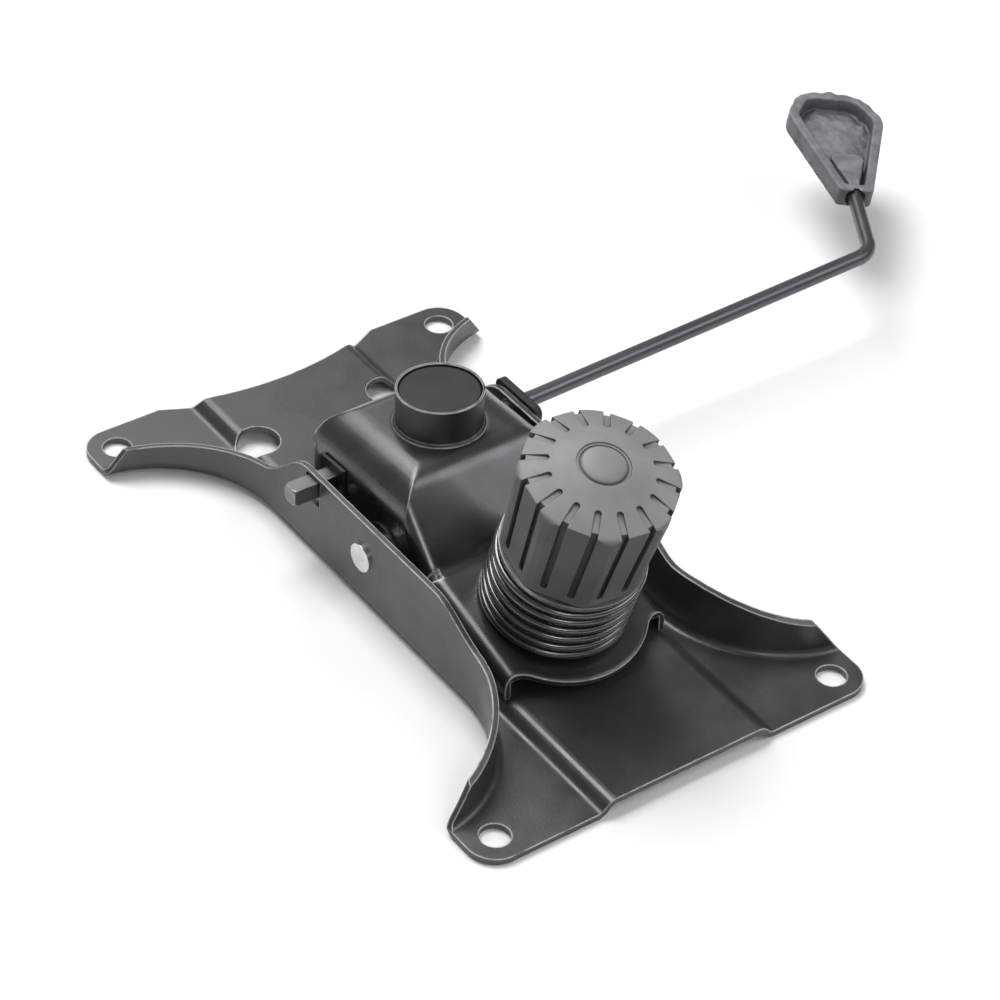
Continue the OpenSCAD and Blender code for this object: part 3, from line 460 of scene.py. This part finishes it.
class DressHousing(bpy.types.Operator):
    """Paints the housing, its socket tube and plug, the bushes and the lock"""
    bl_idname = "tilt_looks.dress_housing"
    bl_label = "Tilt housing"

    def execute(self, context):
        look = context.scene.tilt_looks.housing
        # The pale edge tint on the housing is partly wear and partly a painted highlight
        gloss = finish(
            "housing_gloss_paint", look.colour, tone(look.colour, 1.7), (0.26, 0.36), grain=500.0, relief=0.000006,
            edge=look.wear_and_highlight, edge_r=look.edge, edge_share=1.2, specular=1.0, coat=0.35, bend_r=look.bend)
        paint(gloss, "tilt_housing", "deck_doubler")
        # The tube shares the pale edge tint: partly wear, partly a painted highlight on its rim
        satin = finish(
            "socket_satin_paint", look.colour, tone(look.colour, 1.7), (0.40, 0.52), grain=500.0, relief=0.00001,
            edge=look.wear_and_highlight, edge_r=look.edge, edge_share=1.0, specular=0.7)
        paint(satin, "gas_socket")
        nylon = finish(
            "bush_black_nylon", (0.012, 0.012, 0.012), (0.020, 0.020, 0.020), (0.40, 0.52), patch=70.0,
            grain=1200.0, relief=0.00001, edge=(0.05, 0.05, 0.05), edge_r=0.0004)
        paint(nylon, "pivot_bush_near", "pivot_bush_far", "lock_bush", "rod_bush")
        steel = finish(
            "lock_drawn_steel", (0.26, 0.26, 0.26), (0.18, 0.18, 0.18), (0.34, 0.48), metal=1.0, patch=60.0,
            grain=700.0, relief=0.00001, edge=(0.62, 0.62, 0.60), edge_r=0.0006, stretch=(0.12, 1.0, 1.0))
        paint(steel, "lock_bar", "lock_pin")
        plug = finish(
            "plug_black_plastic", (0.012, 0.012, 0.012), (0.020, 0.020, 0.020), (0.38, 0.52), patch=70.0,
            grain=1500.0, relief=0.00002, edge=(0.06, 0.06, 0.06), edge_r=0.0006)
        paint(plug, "socket_plug")
        return {"FINISHED"}


class WindSpring(bpy.types.Operator):
    """Winds the tension spring as a lower length on the housing and an upper length under the knob"""
    bl_idname = "tilt_looks.wind_spring"
    bl_label = "Tension spring"

    def length(self, look, start_turn, turns, foot, rise):
        """One length of wire wound about the third axis."""
        start_clean()
        bpy.ops.mesh.primitive_circle_add(
            vertices=WIRE_SIDES, radius=look.wire / 2, location=(look.coil, 0, foot), rotation=(math.pi / 2, 0, 0))
        wire = bpy.context.object
        settle(wire)
        steps = max(8, round(TURN_STEPS * turns))
        apply_modifier(wire, "SCREW", axis="Z", angle=2 * math.pi * turns, screw_offset=rise * turns, steps=steps,
                       render_steps=steps, use_smooth_shade=True)
        wire.rotation_euler.z = 2 * math.pi * start_turn
        settle(wire)
        return wire

    def joined(self, lengths):
        """Joins lengths of wire end to end, closes the two ends and places them on the arm."""
        start_clean()
        for wire in lengths:
            wire.select_set(True)
        bpy.context.view_layer.objects.active = lengths[0]
        bpy.ops.object.join()
        wire = bpy.context.object
        bpy.ops.object.mode_set(mode="EDIT")
        bpy.ops.mesh.select_all(action="SELECT")
        bpy.ops.mesh.remove_doubles(threshold=WELD)
        bpy.ops.mesh.select_all(action="DESELECT")
        bpy.ops.mesh.select_mode(type="EDGE")
        bpy.ops.mesh.select_non_manifold()
        bpy.ops.mesh.edge_face_add()
        bpy.ops.mesh.select_all(action="SELECT")
        bpy.ops.mesh.normals_make_consistent(inside=False)
        bpy.ops.object.mode_set(mode="OBJECT")
        wire.matrix_world = ARM
        settle(wire)
        bpy.ops.object.shade_smooth_by_angle(angle=math.radians(40))
        return wire

    def execute(self, context):
        look = context.scene.tilt_looks.spring
        gloss = finish(
            "spring_gloss_paint", look.colour, tone(look.colour, 0.7), (0.24, 0.29), patch=80.0, relief=0.000001,
            edge_r=0.0002, specular=1.0, coat=1.0)
        foot = look.wire / 2 + FOOT_GAP
        live = foot + look.end_rise
        cut = live + look.parted * look.rise
        top = live + look.open_turns * look.rise
        lower = self.joined([
            self.length(look, 0, 1, foot, look.end_rise),
            self.length(look, 0, look.parted, live, look.rise)])
        upper = self.joined([
            self.length(look, look.parted, look.open_turns - look.parted, cut, look.rise),
            self.length(look, 0, 1, top, look.end_rise)])
        hand_over(lower, "spring_lower", gloss, "housing", "spring_paint", "tension_spring")
        hand_over(upper, "spring_upper", gloss, "stem", "spring_paint", "tension_spring")
        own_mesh(lower)
        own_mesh(upper)
        return {"FINISHED"}


class DressKnob(bpy.types.Operator):
    """Finishes the tension knob, its cap, nut, washer and bolt"""
    bl_idname = "tilt_looks.dress_knob"
    bl_label = "Tension knob"

    def cap(self, look):
        """The round cap in the knob's crown: a rim, a ring groove and a low dome."""
        to_arm = ARM.inverted()
        corners = [to_arm @ vertex.co for vertex in NODES["knob_cap"].data.vertices]
        radius = max(math.hypot(corner.x, corner.y) for corner in corners)
        foot, top = min(corner.z for corner in corners), max(corner.z for corner in corners)
        shoulder = top - look.dome
        start_clean()
        bpy.ops.mesh.primitive_cylinder_add(
            vertices=CAP_SIDES, radius=radius, depth=shoulder - foot, location=(0, 0, (foot + shoulder) / 2))
        cap = bpy.context.object
        settle(cap)
        select_top(cap)
        bpy.ops.mesh.inset(thickness=look.ring, depth=0)
        bpy.ops.mesh.inset(thickness=look.ring * GROOVE_WALL, depth=-look.ring * GROOVE_DEPTH)
        bpy.ops.mesh.inset(thickness=look.ring * GROOVE_FLOOR, depth=0)
        bpy.ops.mesh.inset(thickness=look.ring * GROOVE_WALL, depth=look.ring * GROOVE_DEPTH)
        base = radius - (1 + 2 * GROOVE_WALL + GROOVE_FLOOR) * look.ring
        angles = [math.pi / 2 * step / DOME_STEPS for step in range(DOME_STEPS + 1)]
        for here, ahead in zip(angles, angles[1:]):
            bpy.ops.mesh.inset(thickness=DOME_FILL * base * (math.cos(here) - math.cos(ahead)),
                               depth=look.dome * (math.sin(ahead) - math.sin(here)))
        bpy.ops.object.mode_set(mode="OBJECT")
        apply_modifier(cap, "BEVEL", width=CAP_BEVEL, segments=2, limit_method="ANGLE",
                       angle_limit=math.radians(40))
        cap.matrix_world = ARM
        settle(cap)
        bpy.ops.object.shade_smooth_by_angle(angle=math.radians(35))
        return cap

    def execute(self, context):
        look = context.scene.tilt_looks.knob
        # Painted shade (hollow) darkens the knob's flutes and inner corners
        grey = finish(
            "knob_grey_plastic", look.colour, tone(look.colour, 1.3), (0.48, 0.62), patch=45.0, grain=1500.0,
            relief=0.00003, edge=look.wear_and_highlight, edge_r=0.0007, edge_share=0.5, hollow=0.005)
        paint(grey, "tension_knob")
        hand_over(self.cap(look), "knob_cap_dome", grey, "knob", "knob_plastic", "knob_cap")
        zinc = finish(
            "bolt_zinc", (0.72, 0.72, 0.70), (0.56, 0.56, 0.55), (0.22, 0.38), **ZINC, patch=100.0,
            edge=(0.85, 0.85, 0.84), edge_r=0.0004)
        paint(zinc, "tension_bolt", "knob_nut")
        dulled = finish(
            "washer_dulled_zinc", (0.44, 0.43, 0.41), (0.30, 0.29, 0.28), (0.34, 0.50), **ZINC, patch=100.0,
            edge=(0.40, 0.40, 0.40), edge_r=0.0004)
        paint(dulled, "thrust_washer")
        return {"FINISHED"}


class DressLever(bpy.types.Operator):
    """Finishes the bent rod, its paddle and the arm that presses the valve"""
    bl_idname = "tilt_looks.dress_lever"
    bl_label = "Lever"

    def paddle(self, look):
        """The moulded paddle with rounded edges, grooves beside its boss, a low-lobed rim and a mottled floor."""
        start_clean()
        # A core fills the bore round the rod, so that no slit opens over it
        bpy.ops.mesh.primitive_cylinder_add(
            vertices=32, radius=BORE_R, depth=BORE_LENGTH, location=(BORE_MIDDLE, 0, 0),
            rotation=(0, math.pi / 2, 0))
        core = bpy.context.object
        settle(core)
        core.matrix_world = PADDLE
        settle(core)
        paddle = merged_copy("lever_paddle")
        core.select_set(True)
        bpy.ops.object.join()
        apply_modifier(paddle, "REMESH", mode="VOXEL", voxel_size=look.voxel, use_smooth_shade=True)
        to_paddle = PADDLE.inverted()
        for vertex in paddle.data.vertices:
            place = to_paddle @ vertex.co
            wall = WALL_HALF + WALL_FLARE * place.x
            boss = min(BOSS_HALF, wall - look.groove)
            beside_boss = BOSS_START < place.x < BOSS_END and boss < abs(place.y) < wall - WALL_SKIN
            if beside_boss and place.z > HOLLOW_FLOOR:
                place.z = HOLLOW_FLOOR
                vertex.co = PADDLE @ place
            around = math.atan2(place.y, place.x - RIM_MIDDLE)
            if place.z > RIM_FOOT and abs(around) < RIM_REACH:
                place.z += look.lobe * math.cos(RIM_LOBES * around)
                vertex.co = PADDLE @ place
        apply_modifier(paddle, "SMOOTH", factor=0.5, iterations=6)
        floor = paddle.vertex_groups.new(name="hollow_floor")
        floor.add([vertex.index for vertex in paddle.data.vertices
                   if abs((to_paddle @ vertex.co).z - HOLLOW_FLOOR) < FLOOR_DEPTH], 1.0, "REPLACE")
        mottle = bpy.data.textures.new("paddle_mottle", "CLOUDS")
        mottle.noise_scale = MOTTLE_SIZE
        mottle.noise_depth = 1
        apply_modifier(paddle, "DISPLACE", texture=mottle, texture_coords="LOCAL", strength=look.mottle,
                       mid_level=0.5, vertex_group="hollow_floor")
        paddle.vertex_groups.clear()
        apply_modifier(paddle, "SMOOTH", factor=0.5, iterations=2)
        pick(paddle)
        bpy.ops.object.shade_smooth()
        return paddle

    def execute(self, context):
        look = context.scene.tilt_looks.lever
        coat = finish(
            "rod_gloss_coat", look.rod, tone(look.rod, 1.3), (0.33, 0.40), metal=0.7, patch=60.0, grain=800.0,
            relief=0.000005, edge=(0.12, 0.12, 0.12), edge_r=0.0005, stretch=(0.2, 1.0, 1.0), specular=1.0, coat=0.2)
        paint(coat, "lever_rod")
        # Painted shade (hollow) darkens the paddle's inner walls and hollow; its pale lilac edge is partly wear and
        # partly a painted highlight on the rim
        grey = finish(
            "paddle_grey_plastic", look.paddle, tone(look.paddle, 1.6), (0.40, 0.58), patch=140.0, grain=1300.0,
            relief=0.00004, edge=(0.46, 0.46, 0.49), edge_r=0.0013, edge_share=0.9, hollow=0.008)
        hand_over(self.paddle(look), "paddle_moulding", grey, "lever", "paddle_plastic", "lever_paddle")
        zinc = finish(
            "valve_arm_zinc", (0.70, 0.70, 0.68), (0.55, 0.55, 0.54), (0.25, 0.40), **ZINC, patch=100.0,
            edge=(0.8, 0.8, 0.8), edge_r=0.0004)
        paint(zinc, "valve_arm")
        return {"FINISHED"}


class SetStudio(bpy.types.Operator):
    """Lays the pale floor and sets the lamps, the surroundings and the camera"""
    bl_idname = "tilt_looks.set_studio"
    bl_label = "Studio"

    def pale_sheet(self, look):
        """White paper that throws little light back on the object, and keeps its shadow."""
        material = bpy.data.materials.new("floor_pale_sheet")
        material.use_nodes = True
        tree = material.node_tree
        tree.nodes.clear()
        path = add(tree, "ShaderNodeLightPath").outputs
        seen = add(tree, "ShaderNodeMath", {0: path["Is Camera Ray"], 1: path["Is Glossy Ray"]},
                   operation="MAXIMUM")
        clear = add(tree, "ShaderNodeMath", {0: seen.outputs[0], 1: path["Is Transmission Ray"]},
                    operation="MAXIMUM")
        tint = between(tree, clear.outputs[0], opaque([look.bounce] * 3), opaque(look.floor))
        sheet = add(tree, "ShaderNodeBsdfDiffuse", {"Color": tint})
        add(tree, "ShaderNodeOutputMaterial", {"Surface": sheet.outputs[0]})
        return material

    def surround(self, look):
        """A plain white world, a little stronger at floor level than overhead."""
        world = bpy.data.worlds.new("studio_surround")
        world.use_nodes = True
        tree = world.node_tree
        tree.nodes.clear()
        height = add(tree, "ShaderNodeSeparateXYZ", {0: add(tree, "ShaderNodeTexCoord").outputs["Generated"]})
        level = add(tree, "ShaderNodeMapRange", {
            "Value": height.outputs["Z"], "From Min": HORIZON_TOP, "From Max": CEILING_FOOT,
            "To Min": look.horizon, "To Max": look.fill}, interpolation_type="SMOOTHSTEP")
        white = add(tree, "ShaderNodeBackground", {"Color": (1, 1, 1, 1), "Strength": level.outputs["Result"]})
        add(tree, "ShaderNodeOutputWorld", {"Surface": white.outputs[0]})
        return world

    def lamp(self, name, power, size, place, colour=(1.0, 1.0, 1.0)):
        """A soft rectangular lamp that looks at the object."""
        start_clean()
        bpy.ops.object.light_add(type="AREA", location=place)
        lamp = bpy.context.object
        lamp.name = name
        lamp.data.energy = power
        lamp.data.color = colour
        lamp.data.shape = "RECTANGLE"
        lamp.data.size, lamp.data.size_y = size
        lamp.rotation_euler = (Vector(AIM) - Vector(place)).to_track_quat("-Z", "Y").to_euler()

    def execute(self, context):
        look = context.scene.tilt_looks.studio
        start_clean()
        bpy.ops.mesh.primitive_plane_add(size=FLOOR_SIZE, location=(0, 0, FLOOR_HEIGHT))
        floor = bpy.context.object
        floor.name = "studio_floor"
        floor.data.materials.append(self.pale_sheet(look))
        context.scene.world = self.surround(look)
        self.lamp("softbox", look.key, (1.1, 1.1), (-0.06, 0.80, 1.65))
        self.lamp("back_panel", look.back, (0.60, 0.50), (0.48, 1.31, 0.82), (1.0, 0.97, 0.93))
        self.lamp("ramp_panel", look.panel, (0.60, 0.70), (0.77, -0.66, 0.97), (0.92, 0.92, 1.0))
        self.lamp("front_panel", look.front, (0.80, 0.18), (-0.08, -1.085, 1.14), (0.95, 0.95, 1.0))
        self.lamp("near_panel", look.near, (0.40, 0.26), (-0.53, -1.12, 0.97), (0.95, 0.95, 1.0))
        bpy.ops.object.camera_add()
        camera = bpy.context.object
        camera.name = "photo_camera"
        camera.data.sensor_width = SENSOR
        camera.data.lens = LENS
        rows = [(right, -down, -ahead, stand) for right, down, ahead, stand
                in zip(CAMERA_RIGHT, CAMERA_DOWN, CAMERA_AHEAD, CAMERA_STAND)]
        camera.matrix_world = Matrix(rows + [(0, 0, 0, 1)])
        context.scene.camera = camera
        context.scene.view_settings.view_transform = "Standard"
        return {"FINISHED"}


class TiltPanel(bpy.types.Panel):
    """Lists the steps and the looks that they use"""
    bl_idname = "VIEW3D_PT_tilt_looks"
    bl_label = "Tilt mechanism"
    bl_space_type = "VIEW_3D"
    bl_region_type = "UI"
    bl_category = "Tilt mechanism"

    def draw(self, context):
        looks = context.scene.tilt_looks
        for step, part in STEPS:
            box = self.layout.box()
            box.operator(step.bl_idname)
            group = getattr(looks, part)
            for name in group.bl_rna.properties.keys():
                if name not in ("rna_type", "name"):
                    box.prop(group, name)


STEPS = (
    (DressPlate, "plate"), (DressHousing, "housing"), (WindSpring, "spring"), (DressKnob, "knob"),
    (DressLever, "lever"), (SetStudio, "studio"),
)
CLASSES = (
    PlateLook, HousingLook, SpringLook, KnobLook, LeverLook, StudioLook, TiltLooks,
    *[step for step, part in STEPS], TiltPanel,
)


def register():
    for kind in CLASSES:
        bpy.utils.register_class(kind)
    bpy.types.Scene.tilt_looks = PointerProperty(type=TiltLooks)


def unregister():
    del bpy.types.Scene.tilt_looks
    for kind in reversed(CLASSES):
        bpy.utils.unregister_class(kind)


def main():
    register()
    for step, part in STEPS:
        group, name = step.bl_idname.split(".")
        getattr(getattr(bpy.ops, group), name)()


if __name__ == "__main__":
    main()
